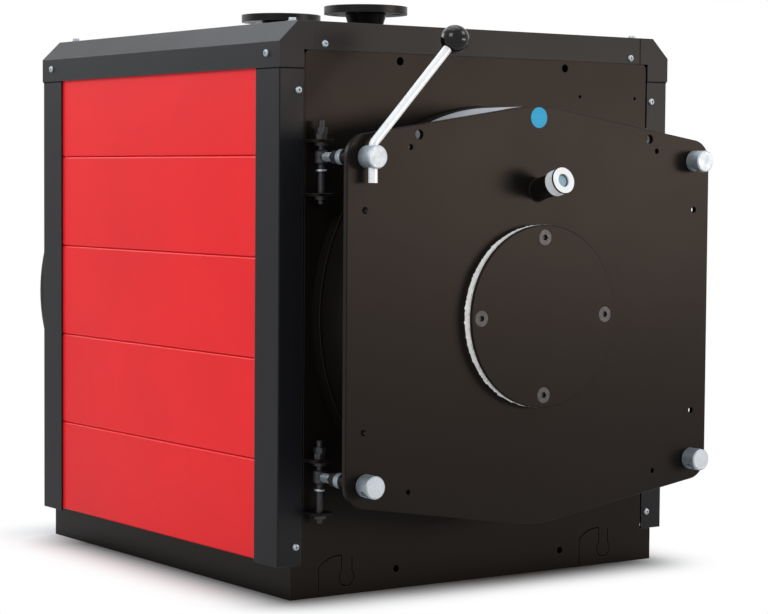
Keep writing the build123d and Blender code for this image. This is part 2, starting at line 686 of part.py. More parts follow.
def door_plate():
    """Steel door with shallow gabled edges, its holes and four corner sleeves."""
    circles = [Pos(x, z) * Circle(DOOR_CORNER_RADIUS) for x, z in clamp_places()]
    apex_offset = BARREL_RADIUS - DOOR_SHORTFALL - DOOR_APEX_RADIUS
    for level in (1, -1):
        circles.append(Pos(0, axis_height + level * apex_offset) * Circle(DOOR_APEX_RADIUS))
    outline = make_hull([circle.edge() for circle in circles])
    outline -= Pos(0, axis_height) * Circle(BURNER_PORT_RADIUS)
    holes = [(LIFT_HOLE_INSET, LIFT_HOLE_RISE, LIFT_HOLE_RADIUS, 1)]
    for level in (1, -1):
        holes.append((TIE_HOLE_INSET, TIE_HOLE_RISE, TIE_HOLE_RADIUS, level))
        holes.append((SIDE_HOLE_INSET, SIDE_HOLE_RISE, SIDE_HOLE_RADIUS, level))
    for inset, rise, radius, level in holes:
        z = axis_height + level * (clamp_z + rise)
        for side in (-1, 1):
            outline -= Pos(side * (clamp_x - inset), z) * Circle(radius)
    door = plate(outline, door_back_y, DOOR_THICKNESS)
    rim = door.faces().sort_by(Axis.Y)[0].outer_wire().edges()
    door = fillet(rim, DOOR_EDGE)
    for x, z in clamp_places():
        door += round_bar(x, z, sleeve_back_y, SLEEVE_LENGTH, SLEEVE_RADIUS)
        bore_length = SLEEVE_LENGTH + DOOR_THICKNESS + 2 * OVERRUN
        door -= round_bar(x, z, sleeve_back_y + OVERRUN, bore_length, SHANK_RADIUS + SLEEVE_CLEARANCE)
    return door - sight_bar(-DOOR_THICKNESS - OVERRUN, DOOR_THICKNESS + 2 * OVERRUN, SIGHT_BORE_RADIUS)


def door_drum():
    """Steel ring on the back of the door, flanged where it holds the rope."""
    flange_front_y = drum_back_y - DRUM_FLANGE_THICKNESS
    profile = [
        (drum_bore, door_back_y),
        (drum_radius, door_back_y),
        (drum_radius, flange_front_y),
        (drum_flange_radius, flange_front_y),
        (drum_flange_radius, drum_back_y),
        (drum_flange_bore, drum_back_y),
        (drum_flange_bore, flange_front_y),
        (drum_bore, flange_front_y),
    ]
    return turned(profile)


def door_refractory():
    """Cast lining inside the drum, stepped into the barrel's mouth and bored for the burner."""
    outer_radius = drum_bore - SEAT_GAP
    shoulder_y = drum_back_y - DRUM_FLANGE_THICKNESS - SEAT_GAP
    tip_y = drum_back_y + PLUG_REACH
    profile = [
        (BURNER_PORT_RADIUS, door_back_y),
        (outer_radius, door_back_y),
        (outer_radius, shoulder_y),
        (plug_radius, shoulder_y),
        (plug_radius - PLUG_TAPER, tip_y),
        (BURNER_PORT_RADIUS + PORT_FLARE, tip_y),
        (BURNER_PORT_RADIUS, tip_y - PORT_FLARE),
    ]
    depth = tip_y - door_front_y
    return turned(profile) - sight_bar(-2 * depth, 2 * depth, SIGHT_BORE_RADIUS)


def door_rope():
    """Flat seal between the drum's flange and the barrel's rim."""
    middle = drum_flange_radius - ROPE_INSET
    low = middle - ROPE_WIDTH / 2
    high = middle + ROPE_WIDTH / 2
    end_y = drum_back_y + ROPE_HEIGHT
    return turned([(low, drum_back_y), (high, drum_back_y), (high, end_y), (low, end_y)])


def door_badge():
    """Plain thin disc near the top of the door."""
    badge_z = axis_height + BARREL_RADIUS - DOOR_SHORTFALL - BADGE_DROP
    return round_bar(0, badge_z, door_front_y, BADGE_THICKNESS, BADGE_RADIUS)


def cover_screw_places():
    """Centres of the cover's countersunk screws in x and z."""
    step = 2 * math.pi / COVER_SCREW_COUNT
    angles = [step * index for index in range(COVER_SCREW_COUNT)]
    radius = cover_radius - COVER_SCREW_INSET
    return [(radius * math.sin(angle), axis_height + radius * math.cos(angle)) for angle in angles]


def burner_gasket():
    """White fibre ring under the blind cover."""
    ring = Circle(cover_radius - COVER_GASKET_SETBACK) - Circle(BURNER_PORT_RADIUS)
    return plate(Pos(0, axis_height) * ring, door_front_y, COVER_GASKET_THICKNESS)


def burner_cover():
    """Blind steel disc that closes the burner port, countersunk for its screws."""
    cover = round_bar(0, axis_height, gasket_front_y, COVER_THICKNESS, cover_radius)
    cover = chamfer(cover.edges().group_by(Axis.Y)[0], COVER_EDGE)
    face_y = gasket_front_y - COVER_THICKNESS
    head = Cone(
        COVER_SCREW_RADIUS,
        COVER_SCREW_HEAD_RADIUS,
        COVER_SCREW_HEAD_HEIGHT,
        align=(Align.CENTER, Align.CENTER, Align.MAX),
    )
    depth = COVER_THICKNESS + 2 * OVERRUN
    for x, z in cover_screw_places():
        cover -= round_bar(x, z, gasket_front_y + OVERRUN, depth, COVER_SCREW_RADIUS)
        cover -= Pos(x, face_y, z) * Rot(90, 0, 0) * head
    return cover


def sight_tube():
    """Black tube that leans up from the door to the glass."""
    length = SIGHT_LENGTH - FERRULE_LIP - LENS_THICKNESS
    depth = DOOR_THICKNESS + SIGHT_TUBE_RADIUS
    tube = sight_bar(-depth, depth + length, SIGHT_TUBE_RADIUS)
    tube -= sight_bar(-depth - OVERRUN, depth + length + 2 * OVERRUN, SIGHT_BORE_RADIUS)
    keep_y = (door_front_y, door_front_y - 2 * SIGHT_LENGTH)
    keep_z = (axis_height, 2 * sight_height)
    return tube & block((-half_width, half_width), keep_y, keep_z)


def sight_ferrule():
    """Bright screwed ring with a groove, holding the glass at its lip."""
    lens_bore = LENS_RADIUS + SEAT_GAP
    tube_bore = SIGHT_TUBE_RADIUS + SEAT_GAP
    lens_back = SIGHT_LENGTH - FERRULE_LIP - LENS_THICKNESS
    groove = SIGHT_LENGTH - FERRULE_GROOVE_PLACE
    groove_radius = FERRULE_RADIUS - FERRULE_GROOVE_DEPTH
    back = SIGHT_LENGTH - FERRULE_LENGTH
    profile = [
        (tube_bore, back),
        (FERRULE_RADIUS, back),
        (FERRULE_RADIUS, groove - FERRULE_GROOVE_WIDTH),
        (groove_radius, groove - FERRULE_GROOVE_WIDTH),
        (groove_radius, groove),
        (FERRULE_RADIUS, groove),
        (FERRULE_RADIUS, SIGHT_LENGTH),
        (LENS_VIEW_RADIUS, SIGHT_LENGTH),
        (LENS_VIEW_RADIUS, SIGHT_LENGTH - FERRULE_LIP),
        (lens_bore, SIGHT_LENGTH - FERRULE_LIP),
        (lens_bore, lens_back),
        (tube_bore, lens_back),
    ]
    ring = revolve(Plane.XZ * make_face(Polyline(*profile, close=True)), Axis.Z)
    return sight_axis(0) * ring


def sight_lens():
    """Round glass between the tube's end and the ferrule's lip."""
    return sight_bar(SIGHT_LENGTH - FERRULE_LIP - LENS_THICKNESS, LENS_THICKNESS, LENS_RADIUS)


def capstan_nut(x, z, cross_angle):
    """Closed round nut with a cross hole for the lever."""
    nut = round_bar(0, 0, nut_back_y, NUT_LENGTH, NUT_RADIUS)
    nut = chamfer(nut.edges().filter_by(GeomType.CIRCLE), NUT_CHAMFER)
    bore_radius = SHANK_RADIUS + NUT_BORE_CLEARANCE
    nut -= round_bar(0, 0, nut_back_y + OVERRUN, NUT_BORE_DEPTH + OVERRUN, bore_radius)
    cross = Cylinder(LEVER_RADIUS + LEVER_CLEARANCE, 2 * NUT_RADIUS + OVERRUN)
    nut -= Pos(0, lever_y, 0) * Rot(0, cross_angle, 0) * cross
    return Pos(x, 0, z) * nut


def lever_points(x, z):
    """Stub end, bend and knob centre of the lever, in the lever's plane."""
    lean = math.radians(LEVER_ANGLE)
    bend = Vector(x, lever_y, z + LEVER_RISE)
    knob = bend + Vector(math.sin(lean), 0, math.cos(lean)) * LEVER_ARM
    return Vector(x, lever_y, z - LEVER_STUB), bend, knob


def lever_rod(x, z):
    """Round bar through the nut, bent over and up to the knob."""
    stub, bend, knob = lever_points(x, z)
    tip = knob - (knob - bend).normalized() * (KNOB_RADIUS - KNOB_SOCKET_DEPTH)
    path = FilletPolyline(stub, bend, tip, radius=LEVER_BEND_RADIUS)
    return sweep(Plane(stub, z_dir=(0, 0, 1)) * Circle(LEVER_RADIUS), path=path)


def lever_knob(x, z):
    """Ball pushed on the end of the lever."""
    stub, bend, knob = lever_points(x, z)
    along = (knob - bend).normalized()
    socket_radius = LEVER_RADIUS + LEVER_CLEARANCE
    socket = Cylinder(socket_radius, 2 * KNOB_RADIUS, align=(Align.CENTER, Align.CENTER, Align.MAX))
    top = knob - along * (KNOB_RADIUS - KNOB_SOCKET_DEPTH)
    return Pos(*knob) * Sphere(KNOB_RADIUS) - Plane(top, z_dir=along) * socket


os.makedirs("parts", exist_ok=True)
sides = (("left", -1), ("right", 1))
ends = (("front", front_y, 1), ("rear", rear_y, -1))

# Base and casing
for name, side in sides:
    save(f"base_rail_{name}", base_rail(side))
    save(f"{name}_side_panels", *side_panels(side))
    save(f"{name}_top_rail", top_rail(side))
    for end, corner_y, inward in ends:
        save(f"{end}_{name}_post", corner_post(side, corner_y, inward))
save("saddles", saddle(front_y + SADDLE_SETBACK), saddle(rear_y - SADDLE_SETBACK))
save("top_cover", top_cover())
save("front_panel", front_panel())
save("rear_panel", end_panel(rear_y))

# Boiler body
save("barrel", barrel())
save("front_tube_plate", tube_plate(tube_plate_y, furnace_radius + SEAT_GAP))
save("rear_tube_plate", tube_plate(rear_plate_y, 0))
save("furnace", furnace())
save("smoke_tubes", *smoke_tubes())
save("smoke_box", smoke_box())
save("flue_spigot", flue_spigot())
save("flow_connection", pipe_connection(FLOW_PLACE_SHARE))
save("return_connection", pipe_connection(RETURN_PLACE_SHARE))

# Hinges
upper_left, upper_right, lower_left, lower_right = clamp_places()
for name, side in sides:
    save(f"{name}_hinge_brackets", *hinge_brackets(side))
save("left_hinge_pins", hinge_pin(*upper_left), hinge_pin(*lower_left))
save("right_hinge_pins", hinge_pin(*upper_right), hinge_pin(*lower_right))
save("left_eye_bolts", eye_bolt(*upper_left, shank_end_y), eye_bolt(*lower_left, shank_end_y))
save("left_collars", adjusting_collar(*upper_left), adjusting_collar(*lower_left))
save("right_eye_bolts", eye_bolt(*upper_right, collar_front_y), eye_bolt(*lower_right, collar_front_y))
save("right_collars", adjusting_collar(*upper_right), adjusting_collar(*lower_right))

# Door
save("door_plate", door_plate())
save("door_drum", door_drum())
save("door_refractory", door_refractory())
save("door_rope", door_rope())
save("burner_gasket", burner_gasket())
save("burner_cover", burner_cover())
save("sight_tube", sight_tube())
save("sight_ferrule", sight_ferrule())
save("sight_lens", sight_lens())
save("door_badge", door_badge())
save("clamp_nuts", *[capstan_nut(*place, NUT_CROSS_ANGLE) for place in (upper_right, lower_left, lower_right)])

# Lever
save("lever_nut", capstan_nut(*upper_left, 0))
save("lever_rod", lever_rod(*upper_left))
save("lever_knob", lever_knob(*upper_left))
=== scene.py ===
import json
import math

import bmesh
import bpy
from mathutils import Matrix, Vector, noise


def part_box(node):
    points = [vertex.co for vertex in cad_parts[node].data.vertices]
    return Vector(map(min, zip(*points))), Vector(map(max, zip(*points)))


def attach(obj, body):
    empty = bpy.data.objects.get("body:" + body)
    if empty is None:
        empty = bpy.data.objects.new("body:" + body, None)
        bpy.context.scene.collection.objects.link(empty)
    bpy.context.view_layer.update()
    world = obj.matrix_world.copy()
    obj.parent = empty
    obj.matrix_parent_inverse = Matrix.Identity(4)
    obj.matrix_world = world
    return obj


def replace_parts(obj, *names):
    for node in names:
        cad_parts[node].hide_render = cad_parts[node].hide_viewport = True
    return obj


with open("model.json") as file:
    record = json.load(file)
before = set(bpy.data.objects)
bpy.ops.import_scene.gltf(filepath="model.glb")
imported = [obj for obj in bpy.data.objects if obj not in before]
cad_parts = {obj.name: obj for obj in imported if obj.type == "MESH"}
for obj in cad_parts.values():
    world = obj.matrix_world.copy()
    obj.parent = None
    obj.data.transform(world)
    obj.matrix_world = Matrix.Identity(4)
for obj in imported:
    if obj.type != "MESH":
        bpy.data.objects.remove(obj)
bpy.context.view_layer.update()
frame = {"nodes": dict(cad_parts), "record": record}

# Looks of the heating boiler: finishes, fasteners, seals, floor, light and camera.
# Lengths are in metres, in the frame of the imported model.

nodes = frame["nodes"]
scene = bpy.context.scene

# Camera, fitted to the photograph's straight edges
PHOTO_WIDTH = 768
FOCAL_PIXELS = 2292.4
SENSOR_WIDTH = 36.0
CAMERA_X = -2.5908
CAMERA_AHEAD = 3.3717
CAMERA_HEIGHT = 0.7452
CAMERA_YAW = math.radians(35.077)
CAMERA_PITCH = math.radians(-3.2165)
CAMERA_ROLL = math.radians(0.4202)

# Lamps: name, place, width and height, power, colour
LAMP_AIM = (0.0, 0.0, 0.5)
LAMPS = (
    ("key", (-3.6, -1.6, 3.2), (2.0, 2.0), 90.0, (1.0, 1.0, 1.0)),
    ("fill", (3.1, -4.6, 0.9), (3.0, 1.0), 110.0, (1.0, 0.84, 0.72)),
    ("side", (-2.0, 3.9, 2.4), (3.0, 1.6), 66.0, (0.92, 0.96, 1.0)),
    ("top", (0.0, 0.3, 4.0), (3.0, 3.0), 60.0, (0.93, 0.96, 1.0)),
    ("sky", (-0.1, 3.9, 4.0), (2.0, 1.2), 16.0, (0.85, 0.93, 1.0)),
    ("window", (2.3, -2.4, 3.4), (1.8, 1.2), 45.0, (0.86, 0.93, 1.0)),
)
SURROUND_COLOUR = (0.96, 0.98, 1.0, 1.0)
SURROUND_STRENGTH = 0.42
WHITE = (1.0, 1.0, 1.0, 1.0)

# Paint colours, with the paler shade that each takes along its edges, partly wear and partly a painted
# highlight
BLACK = (0.0052, 0.0042, 0.0037)
DIPPED_BLACK = (0.008, 0.0078, 0.0080)
BLACK_EDGE = (0.035, 0.031, 0.029)
CASING_GREY = (0.0085, 0.0088, 0.0105)
COVER_GREY = (0.0070, 0.0068, 0.0075)
GREY_EDGE = (0.095, 0.102, 0.118)
RED = (0.68, 0.010, 0.014)
RED_EDGE = (0.68, 0.030, 0.034)
WARM_SHEEN = (1.0, 0.88, 0.80)
# Painted highlight on what faces up on the door's drum, and the power that thins it as the surface
# turns away
TOP_HIGHLIGHT_COLOUR = (0.56, 0.58, 0.62)
TOP_HIGHLIGHT_POWER = 9.0

# Shared by the finishes: span of a noise, rounding of edges and their paleness from wear and painted
# highlight, drift of paint's roughness
NOISE_LOW = 0.3
NOISE_HIGH = 0.7
EDGE_ROUNDING = 0.0014
EDGE_SAMPLES = 6
EDGE_WEAR_AND_HIGHLIGHT_FIRST = 0.985
EDGE_WEAR_AND_HIGHLIGHT_LAST = 0.80
COAT_DRIFT = 0.012

# Casing screws: pan heads with a cross recess, at x and z on both ends
END_SCREWS = ((0.3545, 0.980), (0.409, 0.8975), (0.410, 0.094))
RAIL_SCREW_INSET = 0.040
RAIL_SCREW_HEIGHT = 0.962
SCREW_RADIUS = 0.0066
SCREW_HEIGHT = 0.0042
PAN_PROFILE = ((1.0, -0.1), (1.0, 0.3), (0.94, 0.6), (0.82, 0.84), (0.62, 1.0))
CROSS_REACH = 0.0036
CROSS_HALF_WIDTH = 0.0009
CROSS_TAPER = 0.8
CROSS_FLOOR = 0.25
SMALLEST_SINE = 1e-6

# Hexagon bolts with washers on the flat tops of the rails
TOP_BOLT_INSET = 0.042
TOP_BOLT_X = 0.395
BOLT_HALF_WIDTH = 0.0065
BOLT_HEIGHT = 0.0053
BOLT_SHOULDER = 0.86
BOLT_CROWN = 0.95
WASHER_RADIUS = 0.0084
WASHER_HEIGHT = 0.0016

# Countersunk socket screws of the burner cover
COVER_SCREW_COUNT = 4
COVER_SCREW_CIRCLE = 0.1415
COVER_HEAD_RADIUS = 0.0146
COVER_SHANK_RADIUS = 0.0083
COVER_HEAD_DEPTH = 0.0073
COVER_HEAD_SINK = 0.0004
COVER_SOCKET_HALF_WIDTH = 0.0050
COVER_SOCKET_DEPTH = 0.0055

# Threads on the hinge pins and on the shanks of the eye bolts, and clips on the pins
HINGE_LEVELS = (0.781, 0.219)
PIN_RADIUS = 0.006
PIN_THREADS = ((0.0525, 0.0115), (-0.0820, 0.0080))
PIN_PITCH = 0.00175
SHANK_RADIUS = 0.008
SHANK_PITCH = 0.002
SHANK_START = 0.0125
SHANK_LENGTH = 0.0300
THREAD_RISE = 0.00025
THREAD_DEPTH = 0.00055
CLIP_DROP = 0.02325
CLIP_BORE = 0.0060
CLIP_RADIUS = 0.0094
CLIP_CHAMFER = 0.95
CLIP_HALF_HEIGHT = 0.0017

# Fibre gasket: its waves are counted around the ring and across its edge
GASKET_BORE = 0.110
GASKET_FRAY = 0.0030
GASKET_LIP_FRAY = 0.15
GASKET_FINE_WAVES = (90.0, 420.0)
GASKET_COARSE_WAVES = (31.0, 60.0)
GASKET_COARSE_SHARE = 0.6
GASKET_SKIN = 0.0001
GASKET_LIP = 0.0045
GASKET_TAPER = 0.0020
GASKET_ROWS = 9
GASKET_STEPS = 480

# Braided door rope
ROPE_HALF_WIDTH = 0.007
ROPE_STEPS = 900
ROPE_SIDES = 20
ROPE_STRANDS = 240
ROPE_PLAITS = 3
ROPE_RELIEF = 0.0007

# Jacket around the door's drum
JACKET_RADIUS = 0.3755
JACKET_BORE = 0.3675
JACKET_BACK = 0.0265
JACKET_SEAT = 0.0003
JACKET_ROLL = 0.0012
JACKET_ROLL_STEPS = 5
JACKET_STEPS = 240

# Bead in the gap beside the front panel, and black strips under the rails' skirts that paint the
# shadow line there
PANEL_GAP = 0.0037
BEAD_TOP_DROP = 0.006
BEAD_SINK = 0.00005
BEAD_CROWN = 0.00015
BEAD_DEPTH = 0.0030
BEAD_ARC_STEPS = 8
STRIP_PROUD = 0.0003
STRIP_DEPTH = 0.0010
STRIP_HEIGHT = 0.0024

# Leaning sight tube, with a weld bead at its foot
SIGHT_TILT = math.radians(14.0)
SIGHT_RISE = 0.226
SIGHT_TUBE_RADIUS = 0.020
WELD_RADIUS = 0.0016
WELD_STEPS = 168
WELD_SIDES = 10
WELD_RIPPLES = 42
WELD_RIPPLE_SHARE = 0.12

# Dark rings around the sight glass and in its ferrule's groove, the groove ring painting the shade
# there: radius, lift and thickness
SIGHT_DARK_RINGS = ((0.0112, 0.0032, 0.0009), (0.0226, 0.0052, 0.0019))
DARK_RING_STEPS = 72
DARK_RING_SIDES = 10

# Floor: middle, half size and reach of the shadow, and of the painted contact shadow inside it, a
# darker floor colour close to the base
FLOOR_SIZE = 60.0
SHADOW_MIDDLE = (-0.03, 0.0, 0.0)
SHADOW_HALF = (0.39, 0.45, 1.0)
SHADOW_REACH = 0.20
CONTACT_MIDDLE = (-0.04, -0.075, 0.0)
CONTACT_HALF = (0.38, 0.375, 1.0)
CONTACT_REACH = 0.15
PAINTED_CONTACT_SHADE = (0.18, 0.18, 0.18)

# Small shared values
ROUND_STEPS = 36
SHARP_ANGLE = math.radians(32.0)
FULL_TURN = 2 * math.pi

# Places read from the frame
front_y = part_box("front_panel")[0].y
rear_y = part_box("rear_panel")[1].y


def middle(node):
    """Centre of a node's box."""
    low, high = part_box(node)
    return (low + high) / 2


class Finish:
    """One procedural material, built node by node."""

    def __init__(self, name, colour, roughness, metallic=0.0, edge=EDGE_ROUNDING):
        self.material = bpy.data.materials.new(name)
        self.material.use_nodes = True
        self.tree = self.material.node_tree
        self.shader = self.tree.nodes["Principled BSDF"]
        self.set("Base Color", (*colour, 1.0))
        self.set("Roughness", roughness)
        self.set("Metallic", metallic)
        self.colour = colour
        self.shade = None
        self.place = self.node("ShaderNodeTexCoord").outputs["Object"]
        self.flat = self.node("ShaderNodeNewGeometry").outputs["Normal"]
        rounded = self.node("ShaderNodeBevel", Radius=edge)
        rounded.samples = EDGE_SAMPLES
        self.rounded = rounded.outputs["Normal"]
        self.normal = self.rounded
        self.link(self.normal, self.shader.inputs["Normal"])

    def set(self, socket, value):
        """One value for the whole surface, on the shader's own socket."""
        self.shader.inputs[socket].default_value = value

    def node(self, kind, **inputs):
        """New node with values for its input sockets."""
        made = self.tree.nodes.new(kind)
        for key, value in inputs.items():
            made.inputs[key].default_value = value
        return made

    def link(self, source, target):
        """Join an output to an input."""
        self.tree.links.new(source, target)

    def noise(self, scale, detail=3.0, stretch=(1.0, 1.0, 1.0)):
        """Noise in object space, stretched along an axis where asked."""
        mapping = self.node("ShaderNodeMapping", Scale=stretch)
        self.link(self.place, mapping.inputs["Vector"])
        made = self.node("ShaderNodeTexNoise", Scale=scale, Detail=detail)
        self.link(mapping.outputs["Vector"], made.inputs["Vector"])
        return made.outputs["Fac"]

    def ramp(self, factor, stops):
        """Colour ramp through (position, colour) stops."""
        made = self.node("ShaderNodeValToRGB")
        elements = made.color_ramp.elements
        while len(elements) < len(stops):
            elements.new(0.5)
        for element, (position, colour) in zip(elements, stops):
            element.position = position
            element.color = (*colour, 1.0)
        self.link(factor, made.inputs["Fac"])
        return made.outputs["Color"]

    def tint(self, factor, dark, light):
        """Base colour that drifts between two shades of itself."""
        darker = [c * dark for c in self.colour]
        lighter = [c * light for c in self.colour]
        self.shade = self.ramp(factor, [(NOISE_LOW, darker), (NOISE_HIGH, lighter)])
        self.link(self.shade, self.shader.inputs["Base Color"])

    def spread(self, factor, first, last, low, high):
        """Values from first to last, stretched to run from low to high."""
        made = self.node("ShaderNodeMapRange")
        for key, value in (("From Min", first), ("From Max", last), ("To Min", low), ("To Max", high)):
            made.inputs[key].default_value = value
        self.link(factor, made.inputs["Value"])
        return made.outputs["Result"]

    def vary(self, socket, factor, low, high):
        """A shader value that drifts from low to high with a texture."""
        self.link(self.spread(factor, NOISE_LOW, NOISE_HIGH, low, high), self.shader.inputs[socket])

    def cover(self, mask, colour):
        """Another colour over the base colour, as far as a mask says."""
        made = self.node("ShaderNodeMix")
        made.data_type = "RGBA"
        factor, under, over = made.inputs[0], made.inputs[6], made.inputs[7]
        over.default_value = (*colour, 1.0)
        self.link(mask, factor)
        self.link(self.shade, under)
        self.shade = made.outputs[2]
        self.link(self.shade, self.shader.inputs["Base Color"])

    def worn_and_highlit_edges(self, colour):
        """Paler paint along sharp edges, where the rounded normal leaves the flat one: partly wear,
        partly a painted highlight.
        """
        turned = self.node("ShaderNodeVectorMath")
        turned.operation = "DOT_PRODUCT"
        self.link(self.rounded, turned.inputs[0])
        self.link(self.flat, turned.inputs[1])
        self.cover(self.spread(turned.outputs["Value"], EDGE_WEAR_AND_HIGHLIGHT_FIRST, EDGE_WEAR_AND_HIGHLIGHT_LAST, 0.0, 1.0), colour)

    def painted_top_highlight(self, colour, power):
        """Painted highlight: a paler colour on what faces up, thinning out as the surface turns away.
        """
        parts = self.node("ShaderNodeSeparateXYZ")
        self.link(self.flat, parts.inputs[0])
        thinned = self.node("ShaderNodeMath")
        thinned.operation = "POWER"
        thinned.use_clamp = True
        thinned.inputs[1].default_value = power
        self.link(parts.outputs["Z"], thinned.inputs[0])
        self.cover(thinned.outputs[0], colour)

    def vector_math(self, operation, value, operand=None):
        """Vector node that works on a value, with a constant where one is given."""
        made = self.node("ShaderNodeVectorMath")
        made.operation = operation
        self.link(value, made.inputs[0])
        if operand:
            made.inputs[1].default_value = operand
        return made.outputs["Value" if operation == "LENGTH" else "Vector"]

    def beyond(self, centre, half):
        """Distance outside a box in object space."""
        folded = self.vector_math("ABSOLUTE", self.vector_math("SUBTRACT", self.place, centre))
        past = self.vector_math("SUBTRACT", folded, half)
        return self.vector_math("LENGTH", self.vector_math("MAXIMUM", past, (0.0, 0.0, 0.0)))

    def bump(self, factor, distance, strength=1.0):
        """Surface relief of a height in metres, stacked on any relief before it."""
        made = self.node("ShaderNodeBump", Distance=distance, Strength=strength)
        self.link(factor, made.inputs["Height"])
        self.link(self.normal, made.inputs["Normal"])
        self.normal = made.outputs["Normal"]
        self.link(self.normal, self.shader.inputs["Normal"])


def powder_coat(name, colour, edges, roughness, peel, specular, sheen=(1.0, 1.0, 1.0), highlit_top=False):
    """Sprayed and baked paint with a faint orange peel, paler edges from wear and a painted highlight,
    and where asked a painted highlight on what faces up.
    """
    finish = Finish(name, colour, roughness)
    finish.set("Specular IOR Level", specular)
    finish.set("Specular Tint", (*sheen, 1.0))
    finish.tint(finish.noise(scale=5.0), dark=0.96, light=1.04)
    # paler edges: wear, and a painted highlight along them
    finish.worn_and_highlit_edges(edges)
    if highlit_top:
        # painted highlight on what faces up
        finish.painted_top_highlight(TOP_HIGHLIGHT_COLOUR, TOP_HIGHLIGHT_POWER)
    drift = finish.noise(scale=9.0)
    finish.vary("Roughness", drift, low=roughness - COAT_DRIFT, high=roughness + COAT_DRIFT)
    finish.bump(finish.noise(scale=420.0, detail=2.0), distance=peel)
    return finish.material


def bright_zinc(name, colour, roughness, metallic):
    """Clear zinc plate: bluish, a little cloudy."""
    finish = Finish(name, colour, roughness, metallic, edge=0.0005)
    finish.tint(finish.noise(scale=70.0), dark=0.95, light=1.03)
    finish.vary("Roughness", finish.noise(scale=90.0), low=0.9 * roughness, high=1.15 * roughness)
    finish.bump(finish.noise(scale=900.0, detail=2.0), distance=0.000004)
    return finish.material


def black_oxide():
    """Oiled black steel of the hinge pins and socket screws."""
    finish = Finish("black_oxide", (0.030, 0.030, 0.033), roughness=0.40, metallic=0.6, edge=0.0005)
    finish.tint(finish.noise(scale=140.0), dark=0.7, light=1.4)
    finish.vary("Roughness", finish.noise(scale=300.0), low=0.34, high=0.5)
    finish.bump(finish.noise(scale=1100.0), distance=0.00002)
    return finish.material


def dull_black_rubber_and_shade():
    """Dull black rubber look, for the dark rings at the sight glass and the strips that paint the
    shadow line under the rails' skirts.
    """
    finish = Finish("dull_black_rubber_and_shade", (0.004, 0.004, 0.0042), roughness=0.75, edge=0.0003)
    finish.set("Specular IOR Level", 0.04)
    finish.tint(finish.noise(scale=200.0), dark=0.8, light=1.2)
    finish.bump(finish.noise(scale=900.0), distance=0.00002)
    return finish.material


def mill_steel():
    """Bare rolled steel inside the boiler, grey with brown bloom."""
    finish = Finish("mill_steel", (0.075, 0.07, 0.068), roughness=0.55, metallic=0.35)
    bloom = [(0.35, (0.055, 0.054, 0.056)), (0.55, (0.085, 0.078, 0.074)), (0.72, (0.11, 0.07, 0.048))]
    shade = finish.ramp(finish.noise(scale=9.0, detail=6.0), bloom)
    finish.link(shade, finish.shader.inputs["Base Color"])
    finish.vary("Roughness", finish.noise(scale=30.0), low=0.45, high=0.7)
    finish.bump(finish.noise(scale=260.0), distance=0.00006)
    return finish.material


def refractory():
    """Cast fireclay lining with pores and faint stains."""
    finish = Finish("refractory", (0.56, 0.50, 0.42), roughness=0.92, edge=0.002)
    finish.tint(finish.noise(scale=14.0, detail=8.0), dark=0.82, light=1.08)
    pores = finish.node("ShaderNodeTexVoronoi", Scale=210.0)
    finish.link(finish.place, pores.inputs["Vector"])
    finish.bump(pores.outputs["Distance"], distance=0.0006, strength=0.5)
    finish.bump(finish.noise(scale=420.0, detail=6.0), distance=0.0004)
    return finish.material


def ceramic_fibre():
    """White pressed fibre of the gasket and the door rope."""
    finish = Finish("ceramic_fibre", (0.93, 0.92, 0.90), roughness=0.95)
    finish.tint(finish.noise(scale=120.0, detail=6.0), dark=0.93, light=1.04)
    threads = finish.noise(scale=700.0, detail=6.0, stretch=(1.0, 1.0, 0.25))
    finish.bump(threads, distance=0.0007)
    return finish.material


def gloss_ball():
    """Moulded black knob."""
    finish = Finish("gloss_ball", (0.003, 0.003, 0.0035), roughness=0.07)
    finish.set("Specular IOR Level", 0.23)
    finish.vary("Roughness", finish.noise(scale=60.0), low=0.06, high=0.12)
    finish.bump(finish.noise(scale=140.0), distance=0.00003)
    return finish.material


def film_disc():
    """Plain blue self-adhesive film."""
    finish = Finish("film_disc", (0.006, 0.28, 0.50), roughness=0.38, edge=0.0002)
    finish.set("Specular IOR Level", 0.12)
    finish.tint(finish.noise(scale=60.0), dark=0.94, light=1.04)
    finish.vary("Roughness", finish.noise(scale=200.0), low=0.32, high=0.45)
    finish.bump(finish.noise(scale=500.0), distance=0.00001)
    return finish.material


def sight_glass():
    """Thick bluish glass."""
    finish = Finish("sight_glass", (0.34, 0.54, 0.68), roughness=0.04)
    finish.set("Transmission Weight", 0.35)
    finish.set("IOR", 1.5)
    finish.vary("Roughness", finish.noise(scale=80.0), low=0.03, high=0.08)
    return finish.material


zinc = bright_zinc("bright_zinc", (0.335, 0.38, 0.42), roughness=0.49, metallic=0.85)
polished = bright_zinc("polished_ferrule", (0.69, 0.72, 0.74), roughness=0.30, metallic=0.10)
fibre = ceramic_fibre()
pin_black = black_oxide()
# dull black for the pieces that paint shade
rubber_shade_black = dull_black_rubber_and_shade()
front_black = powder_coat(
    "front_black", BLACK, BLACK_EDGE, roughness=0.34, peel=0.00002, specular=0.083, sheen=WARM_SHEEN)
# The drum's paint carries a painted highlight on its top
drum_black = powder_coat(
    "drum_black", BLACK, BLACK_EDGE, roughness=0.34, peel=0.00002, specular=0.105, sheen=WARM_SHEEN,
    highlit_top=True)
dipped_black = powder_coat(
    "dipped_black", DIPPED_BLACK, BLACK_EDGE, roughness=0.30, peel=0.00003, specular=0.13)
panel_red = powder_coat(
    "panel_red", RED, RED_EDGE, roughness=0.38, peel=0.00002, specular=0.105)
casing_grey = powder_coat(
    "casing_grey", CASING_GREY, GREY_EDGE, roughness=0.36, peel=0.00004, specular=0.10)
cover_grey = powder_coat(
    "cover_grey", COVER_GREY, GREY_EDGE, roughness=0.36, peel=0.00004, specular=0.105)

